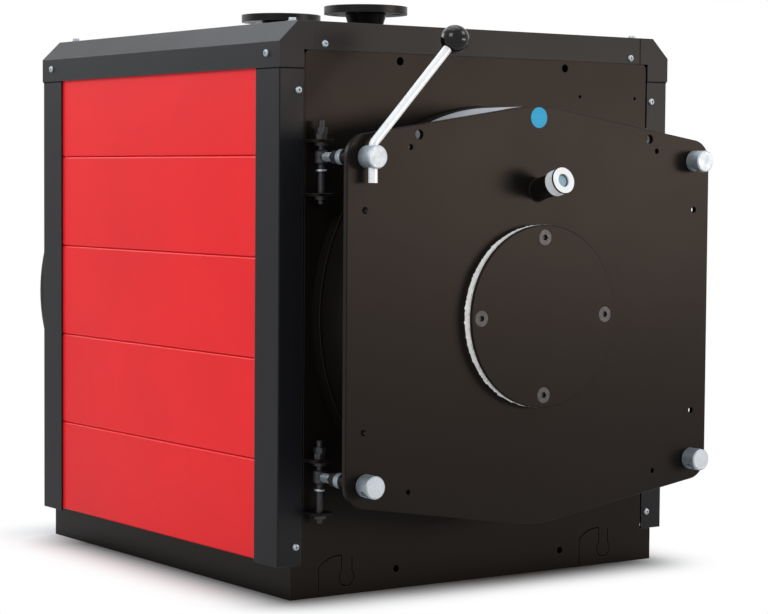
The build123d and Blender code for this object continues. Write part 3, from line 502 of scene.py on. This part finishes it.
# Finish of each material slot, and of the nodes that have their own
finishes = {
    "panel_red": panel_red,
    "casing_grey": casing_grey,
    "cover_grey": cover_grey,
    "front_black": front_black,
    "black_steel": mill_steel(),
    "zinc": zinc,
    "pin_black": pin_black,
    "badge_blue": film_disc(),
    "refractory": refractory(),
    "fibre": fibre,
    "sight_glass": sight_glass(),
    "knob_black": gloss_ball(),
}
own_finishes = {
    "sight_ferrule": polished,
    "lever_rod": polished,
    "flow_connection": dipped_black,
    "return_connection": dipped_black,
}


def dress_nodes():
    """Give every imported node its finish."""
    for part in frame["record"]["subparts"]:
        piece = nodes[part["node"]]
        piece.data.materials.clear()
        piece.data.materials.append(finishes[part["material_slot"]])
    for node, material in own_finishes.items():
        nodes[node].data.materials[0] = material


def facing(point, outward):
    """Frame at a point whose +Z looks outward."""
    turn = Vector(outward).to_track_quat("Z", "Y").to_matrix().to_4x4()
    return Matrix.Translation(point) @ turn


def circle(radius, height, steps=ROUND_STEPS):
    """Points of a level ring; radius is a number or a function of the angle."""
    points = []
    for step in range(steps):
        angle = FULL_TURN * step / steps
        reach = radius(angle) if callable(radius) else radius
        points.append(Vector((reach * math.cos(angle), reach * math.sin(angle), height)))
    return points


def skin(shell, rings, place, capped=True):
    """Faces between rings of equal count, closed with caps or back on the first ring."""
    rows = [[shell.verts.new(place @ point) for point in ring] for ring in rings]
    pairs = list(zip(rows, rows[1:]))
    if not capped:
        pairs.append((rows[-1], rows[0]))
    for low, high in pairs:
        for index, corner in enumerate(low):
            after = (index + 1) % len(low)
            shell.faces.new((corner, low[after], high[after], high[index]))
    if capped:
        shell.faces.new(rows[0])
        shell.faces.new(rows[-1])


def add_piece(name, shell, body, material):
    """Turn a shell into a piece that rides on a body."""
    bmesh.ops.recalc_face_normals(shell, faces=shell.faces)
    mesh = bpy.data.meshes.new(name)
    shell.to_mesh(mesh)
    shell.free()
    mesh.shade_smooth()
    mesh.set_sharp_from_angle(angle=SHARP_ANGLE)
    mesh.materials.append(material)
    made = bpy.data.objects.new(name, mesh)
    scene.collection.objects.link(made)
    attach(made, body)
    return made


def cross_recess(angle):
    """Outline of a cross recess."""
    quarter = math.pi / 2
    off_arm = abs((angle + quarter / 2) % quarter - quarter / 2)
    return min(CROSS_REACH, CROSS_HALF_WIDTH / max(math.sin(off_arm), SMALLEST_SINE))


def hexagon(half_width):
    """Outline of a hexagon as a function of the angle."""
    sixth = math.pi / 3
    return lambda angle: half_width / math.cos(angle % sixth - sixth / 2)


def pan_screw(shell, place):
    """Pan head with a cross recess."""
    rings = [circle(SCREW_RADIUS * wide, SCREW_HEIGHT * tall) for wide, tall in PAN_PROFILE]
    rings.append(circle(cross_recess, SCREW_HEIGHT))
    rings.append(circle(lambda angle: CROSS_TAPER * cross_recess(angle), CROSS_FLOOR * SCREW_HEIGHT))
    skin(shell, rings, place)


def hex_bolt(shell, place):
    """Hexagon head on a plain washer."""
    skin(shell, [circle(WASHER_RADIUS, 0.0), circle(WASHER_RADIUS, WASHER_HEIGHT)], place)
    head = place @ Matrix.Translation((0.0, 0.0, WASHER_HEIGHT))
    sides = hexagon(BOLT_HALF_WIDTH)
    rings = [
        circle(sides, 0.0),
        circle(sides, BOLT_SHOULDER * BOLT_HEIGHT),
        circle(BOLT_CROWN * BOLT_HALF_WIDTH, BOLT_HEIGHT),
    ]
    skin(shell, rings, head)


def casing_screws():
    """Screws on the posts, the top cover and the rails, alike on all sides."""
    rail_low, rail_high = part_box("left_top_rail")
    shell = bmesh.new()
    for side in (-1, 1):
        for end_y, outward in ((front_y, -1), (rear_y, 1)):
            for x, z in END_SCREWS:
                pan_screw(shell, facing((side * x, end_y, z), (0, outward, 0)))
            skirt_y = end_y - outward * RAIL_SCREW_INSET
            pan_screw(shell, facing((-side * rail_low.x, skirt_y, RAIL_SCREW_HEIGHT), (side, 0, 0)))
            top_y = end_y - outward * TOP_BOLT_INSET
            hex_bolt(shell, Matrix.Translation((side * TOP_BOLT_X, top_y, rail_high.z)))
    add_piece("casing_screws", shell, "boiler", zinc)


def cover_screws():
    """Flush socket screws in the burner cover."""
    face_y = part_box("burner_cover")[0].y
    centre = middle("burner_cover")
    socket = hexagon(COVER_SOCKET_HALF_WIDTH)
    rings = [
        circle(COVER_SHANK_RADIUS, -COVER_HEAD_DEPTH),
        circle(COVER_HEAD_RADIUS, -2 * COVER_HEAD_SINK),
        circle(COVER_HEAD_RADIUS - COVER_HEAD_SINK, -COVER_HEAD_SINK),
        circle(socket, -COVER_HEAD_SINK),
        circle(socket, -COVER_SOCKET_DEPTH),
    ]
    shell = bmesh.new()
    for screw in range(COVER_SCREW_COUNT):
        angle = screw * FULL_TURN / COVER_SCREW_COUNT
        x = centre.x + COVER_SCREW_CIRCLE * math.sin(angle)
        z = centre.z + COVER_SCREW_CIRCLE * math.cos(angle)
        skin(shell, rings, facing((x, face_y, z), (0, -1, 0)))
    add_piece("cover_screws", shell, "door", pin_black)


def thread(shell, place, radius, length, pitch):
    """Row of fine ridges around a bar."""
    turns = int(length / pitch)
    rings = []
    for turn in range(turns):
        rings.append(circle(radius - THREAD_DEPTH, turn * pitch))
        rings.append(circle(radius + THREAD_RISE, (turn + 0.5) * pitch))
    rings.append(circle(radius - THREAD_DEPTH, turns * pitch))
    skin(shell, rings, place)


def hinge_threads():
    """Threaded ends of the pins and threaded shanks of the eye bolts."""
    shell = bmesh.new()
    for node in ("left_hinge_pins", "right_hinge_pins"):
        pin = middle(node)
        for level in HINGE_LEVELS:
            for start, length in PIN_THREADS:
                place = Matrix.Translation((pin.x, pin.y, level + start))
                thread(shell, place, PIN_RADIUS, length, PIN_PITCH)
    add_piece("pin_threads", shell, "boiler", pin_black)
    for side, body in (("left", "door"), ("right", "boiler")):
        pin = middle(f"{side}_hinge_pins")
        shell = bmesh.new()
        for level in HINGE_LEVELS:
            place = facing((pin.x, pin.y - SHANK_START, level), (0, -1, 0))
            thread(shell, place, SHANK_RADIUS, SHANK_LENGTH, SHANK_PITCH)
        add_piece(f"{side}_shank_threads", shell, body, zinc)


def pin_clips():
    """Bright spring clips around the pins, under the eyes."""
    shoulder = CLIP_CHAMFER * CLIP_RADIUS
    profile = (
        (CLIP_BORE, -1.0), (shoulder, -1.0), (CLIP_RADIUS, -0.5),
        (CLIP_RADIUS, 0.5), (shoulder, 1.0), (CLIP_BORE, 1.0),
    )
    rings = [circle(radius, CLIP_HALF_HEIGHT * height) for radius, height in profile]
    shell = bmesh.new()
    for node in ("left_hinge_pins", "right_hinge_pins"):
        pin = middle(node)
        for level in HINGE_LEVELS:
            place = Matrix.Translation((pin.x, pin.y, level - CLIP_DROP))
            skin(shell, rings, place, capped=False)
    add_piece("pin_clips", shell, "boiler", zinc)


def torn_edge(ray, y):
    """Unevenness of the gasket's edge at a ray from its centre and a depth."""
    around, across = GASKET_FINE_WAVES
    fine = noise.noise(Vector((around * ray.x, across * y, around * ray.z)))
    around, across = GASKET_COARSE_WAVES
    coarse = noise.noise(Vector((around * ray.x, across * y, around * ray.z)))
    return fine + GASKET_COARSE_SHARE * coarse


def frayed_gasket():
    """Fibre ring under the burner cover, with a torn outer edge."""
    low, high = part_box("burner_gasket")
    centre = (low + high) / 2
    cover_low, cover_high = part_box("burner_cover")
    cover_radius = (cover_high.x - cover_low.x) / 2 + GASKET_SKIN
    lip_y = low.y - GASKET_LIP
    inner = ((high.y, GASKET_BORE), (low.y, GASKET_BORE), (low.y, cover_radius), (lip_y, cover_radius))
    rings = []
    for step in range(GASKET_STEPS):
        angle = FULL_TURN * step / GASKET_STEPS
        ray = Vector((math.sin(angle), 0.0, math.cos(angle)))
        section = []
        for row in range(GASKET_ROWS):
            down = row / (GASKET_ROWS - 1)
            y = lip_y + (high.y - lip_y) * down
            ragged = GASKET_FRAY * torn_edge(ray, y) * (GASKET_LIP_FRAY + down)
            reach = cover_radius + max(GASKET_SKIN, GASKET_SKIN + ragged) - GASKET_TAPER * down
            section.append(Vector((centre.x, y, centre.z)) + ray * reach)
        for y, reach in inner:
            section.append(Vector((centre.x, y, centre.z)) + ray * reach)
        rings.append(section)
    shell = bmesh.new()
    skin(shell, rings, Matrix(), capped=False)
    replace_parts(add_piece("frayed_gasket", shell, "door", fibre), "burner_gasket")


def drum_jacket():
    """Sheet jacket around the door's drum, with a rolled rear rim."""
    low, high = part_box("door_drum")
    front = low.y + JACKET_SEAT
    back = front_y - JACKET_BACK
    profile = [(JACKET_BORE, front), (JACKET_RADIUS, front)]
    for step in range(JACKET_ROLL_STEPS + 1):
        turn = math.pi / 2 * step / JACKET_ROLL_STEPS
        inset = JACKET_ROLL * (1.0 - math.cos(turn))
        profile.append((JACKET_RADIUS - inset, back - JACKET_ROLL * (1.0 - math.sin(turn))))
    profile.append((JACKET_BORE, back))
    centre = (low + high) / 2
    place = facing((centre.x, 0.0, centre.z), (0, -1, 0))
    shell = bmesh.new()
    skin(shell, [circle(radius, -y, JACKET_STEPS) for radius, y in profile], place, capped=False)
    add_piece("drum_jacket", shell, "door", drum_black)


def panel_bead():
    """Painted bead that fills the gap between the left post and the front panel."""
    low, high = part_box("front_left_post")
    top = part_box("front_panel")[1].z - BEAD_TOP_DROP
    half = PANEL_GAP / 2
    section = []
    for step in range(BEAD_ARC_STEPS + 1):
        turn = math.pi * step / BEAD_ARC_STEPS
        crown = BEAD_CROWN * (1.0 - math.sin(turn))
        section.append((high.x + half - half * math.cos(turn), front_y + BEAD_SINK + crown))
    for x in (high.x + PANEL_GAP, high.x):
        section.append((x, front_y + BEAD_DEPTH))
    rings = [[Vector((x, y, z)) for x, y in section] for z in (low.z, top)]
    shell = bmesh.new()
    skin(shell, rings, Matrix())
    add_piece("panel_bead", shell, "boiler", front_black)


def lap_shadow_strips():
    """Black strips where the skirts of the top rails lap over the posts: a painted shadow line under
    the skirts.
    """
    shell = bmesh.new()
    for hand, out_x in (("left", -1), ("right", 1)):
        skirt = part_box(f"{hand}_top_rail")[0].z
        for end, out_y in (("front", -1), ("rear", 1)):
            low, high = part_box(f"{end}_{hand}_post")
            corner_x, end_x = (low.x, high.x) if out_x < 0 else (high.x, low.x)
            corner_y, end_y = (low.y, high.y) if out_y < 0 else (high.y, low.y)
            outer_x = corner_x + out_x * STRIP_PROUD
            outer_y = corner_y + out_y * STRIP_PROUD
            inner_x = corner_x - out_x * STRIP_DEPTH
            inner_y = corner_y - out_y * STRIP_DEPTH
            plan = (
                (outer_x, outer_y), (end_x, outer_y), (end_x, inner_y),
                (inner_x, inner_y), (inner_x, end_y), (outer_x, end_y),
            )
            levels = (skirt - STRIP_HEIGHT, skirt)
            skin(shell, [[Vector((x, y, z)) for x, y in plan] for z in levels], Matrix())
    # black strips that paint the shadow line under the skirts
    add_piece("lap_shadow_strips", shell, "boiler", rubber_shade_black)


def braided_rope():
    """Flattened braid around the door's drum."""
    low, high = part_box("door_rope")
    centre = (low + high) / 2
    half_depth = (high.y - low.y) / 2
    spine = (high.x - low.x) / 2 - ROPE_HALF_WIDTH
    rings = []
    for step in range(ROPE_STEPS):
        angle = FULL_TURN * step / ROPE_STEPS
        ray = Vector((math.sin(angle), 0.0, math.cos(angle)))
        section = []
        for side in range(ROPE_SIDES):
            turn = FULL_TURN * side / ROPE_SIDES
            one = math.sin(ROPE_STRANDS * angle / 2 + ROPE_PLAITS * turn)
            other = math.sin(ROPE_STRANDS * angle / 2 - ROPE_PLAITS * turn)
            inset = ROPE_RELIEF * (1.0 - max(one, other)) / 2
            reach = spine + (ROPE_HALF_WIDTH - inset) * math.cos(turn)
            y = centre.y + (half_depth - inset) * math.sin(turn)
            section.append(Vector((centre.x, y, centre.z)) + ray * reach)
        rings.append(section)
    shell = bmesh.new()
    skin(shell, rings, Matrix(), capped=False)
    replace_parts(add_piece("braided_rope", shell, "door", fibre), "door_rope")


def sight_weld():
    """Rippled bead where the leaning sight tube meets the door."""
    door_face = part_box("burner_gasket")[1].y
    foot = Vector((0.0, door_face, middle("burner_cover").z + SIGHT_RISE))
    rings = []
    for step in range(WELD_STEPS):
        angle = FULL_TURN * step / WELD_STEPS
        spread = Vector((math.cos(angle), 0.0, math.sin(angle) / math.cos(SIGHT_TILT)))
        thick = WELD_RADIUS * (1.0 + WELD_RIPPLE_SHARE * math.sin(WELD_RIPPLES * angle))
        section = []
        for side in range(WELD_SIDES):
            turn = FULL_TURN * side / WELD_SIDES
            reach = SIGHT_TUBE_RADIUS + thick * math.cos(turn)
            section.append(foot + spread * reach + Vector((0.0, thick * math.sin(turn), 0.0)))
        rings.append(section)
    shell = bmesh.new()
    skin(shell, rings, Matrix(), capped=False)
    add_piece("sight_weld", shell, "door", front_black)


def sight_ring_and_groove_shade():
    """Dark ring around the visible part of the sight glass, and a dark ring in the ferrule's groove as
    its painted shade.
    """
    lens = middle("sight_lens")
    outward = Vector((0.0, -math.cos(SIGHT_TILT), math.sin(SIGHT_TILT)))
    shell = bmesh.new()
    for radius, lift, thick in SIGHT_DARK_RINGS:
        rings = []
        for step in range(DARK_RING_STEPS):
            angle = FULL_TURN * step / DARK_RING_STEPS
            ray = Vector((math.cos(angle), math.sin(angle), 0.0))
            section = []
            for side in range(DARK_RING_SIDES):
                turn = FULL_TURN * side / DARK_RING_SIDES
                rise = Vector((0.0, 0.0, thick * math.sin(turn)))
                section.append(ray * (radius + thick * math.cos(turn)) + rise)
            rings.append(section)
        skin(shell, rings, facing(lens + outward * lift, outward), capped=False)
    # the outer ring paints the shade in the ferrule's groove
    add_piece("sight_ring_and_groove_shade", shell, "door", rubber_shade_black)


def looking_rays(tree):
    """1 for rays from the camera, off glossy surfaces or through glass, 0 for plain light."""
    rays = tree.nodes.new("ShaderNodeLightPath")
    total = rays.outputs["Is Camera Ray"]
    for name in ("Is Glossy Ray", "Is Transmission Ray"):
        larger = tree.nodes.new("ShaderNodeMath")
        larger.operation = "MAXIMUM"
        tree.links.new(total, larger.inputs[0])
        tree.links.new(rays.outputs[name], larger.inputs[1])
        total = larger.outputs[0]
    return total


def make_floor():
    """Pale floor: it shows the object's shadow nearby, with a painted contact shadow darkening its
    colour close to the base, and plain white farther out.
    """
    bpy.ops.mesh.primitive_plane_add(size=FLOOR_SIZE)
    floor = bpy.context.object
    floor.name = "floor"
    finish = Finish("floor_white", (0.92, 0.92, 0.92), roughness=0.8)
    finish.set("Specular IOR Level", 0.0)
    finish.tint(finish.noise(scale=2.0), dark=0.995, light=1.0)
    finish.bump(finish.noise(scale=300.0), distance=0.0001)
    # painted contact shadow: the floor's colour darkens towards the base
    painted_contact_distance = finish.beyond(CONTACT_MIDDLE, CONTACT_HALF)
    finish.cover(finish.spread(painted_contact_distance, 0.0, CONTACT_REACH, 1.0, 0.0), PAINTED_CONTACT_SHADE)
    fade = finish.node("ShaderNodeMapRange")
    fade.interpolation_type = "SMOOTHSTEP"
    fade.inputs["From Min"].default_value = 0.0
    fade.inputs["From Max"].default_value = SHADOW_REACH
    finish.link(finish.beyond(SHADOW_MIDDLE, SHADOW_HALF), fade.inputs["Value"])
    white = finish.node("ShaderNodeEmission", Strength=1.0)
    shown = finish.node("ShaderNodeMath")
    shown.operation = "MULTIPLY"
    finish.link(fade.outputs["Result"], shown.inputs[0])
    finish.link(looking_rays(finish.tree), shown.inputs[1])
    mix = finish.node("ShaderNodeMixShader")
    finish.link(shown.outputs[0], mix.inputs["Fac"])
    finish.link(finish.shader.outputs[0], mix.inputs[1])
    finish.link(white.outputs[0], mix.inputs[2])
    finish.link(mix.outputs[0], finish.tree.nodes["Material Output"].inputs["Surface"])
    floor.data.materials.append(finish.material)


def make_world():
    """White studio surround: white to look at, softer as light."""
    world = bpy.data.worlds.new("studio")
    scene.world = world
    world.use_nodes = True
    tree = world.node_tree
    light = tree.nodes["Background"]
    light.inputs["Color"].default_value = SURROUND_COLOUR
    light.inputs["Strength"].default_value = SURROUND_STRENGTH
    seen = tree.nodes.new("ShaderNodeBackground")
    seen.inputs["Color"].default_value = WHITE
    seen.inputs["Strength"].default_value = 1.0
    mix = tree.nodes.new("ShaderNodeMixShader")
    tree.links.new(looking_rays(tree), mix.inputs["Fac"])
    tree.links.new(light.outputs[0], mix.inputs[1])
    tree.links.new(seen.outputs[0], mix.inputs[2])
    tree.links.new(mix.outputs[0], tree.nodes["World Output"].inputs["Surface"])


def make_lights():
    """Area lamps aimed at the boiler's middle."""
    for name, place, (wide, tall), power, colour in LAMPS:
        lamp = bpy.data.lights.new(name, "AREA")
        lamp.shape = "RECTANGLE"
        lamp.size = wide
        lamp.size_y = tall
        lamp.energy = power
        lamp.color = colour
        holder = bpy.data.objects.new(name, lamp)
        holder.location = place
        holder.rotation_mode = "QUATERNION"
        holder.rotation_quaternion = (Vector(LAMP_AIM) - Vector(place)).to_track_quat("-Z", "Y")
        holder.visible_camera = False
        scene.collection.objects.link(holder)


def make_camera():
    """Camera where the photograph was taken from."""
    right = Vector((math.cos(CAMERA_YAW), -math.sin(CAMERA_YAW), 0.0))
    ahead = Vector((math.sin(CAMERA_YAW), math.cos(CAMERA_YAW), 0.0)) * math.cos(CAMERA_PITCH)
    ahead.z = math.sin(CAMERA_PITCH)
    up = right.cross(ahead)
    rolled_right = right * math.cos(CAMERA_ROLL) + up * math.sin(CAMERA_ROLL)
    rolled_up = up * math.cos(CAMERA_ROLL) - right * math.sin(CAMERA_ROLL)
    place = Matrix((rolled_right, rolled_up, -ahead)).transposed().to_4x4()
    place.translation = Vector((CAMERA_X, front_y - CAMERA_AHEAD, CAMERA_HEIGHT))
    lens = bpy.data.cameras.new("photo_camera")
    lens.sensor_width = SENSOR_WIDTH
    lens.lens = FOCAL_PIXELS / PHOTO_WIDTH * SENSOR_WIDTH
    holder = bpy.data.objects.new("photo_camera", lens)
    holder.matrix_world = place
    scene.collection.objects.link(holder)
    scene.camera = holder


dress_nodes()
casing_screws()
cover_screws()
hinge_threads()
pin_clips()
frayed_gasket()
drum_jacket()
panel_bead()
lap_shadow_strips()
braided_rope()
sight_weld()
sight_ring_and_groove_shade()
make_floor()
make_world()
make_lights()
make_camera()
scene.view_settings.view_transform = "Standard"
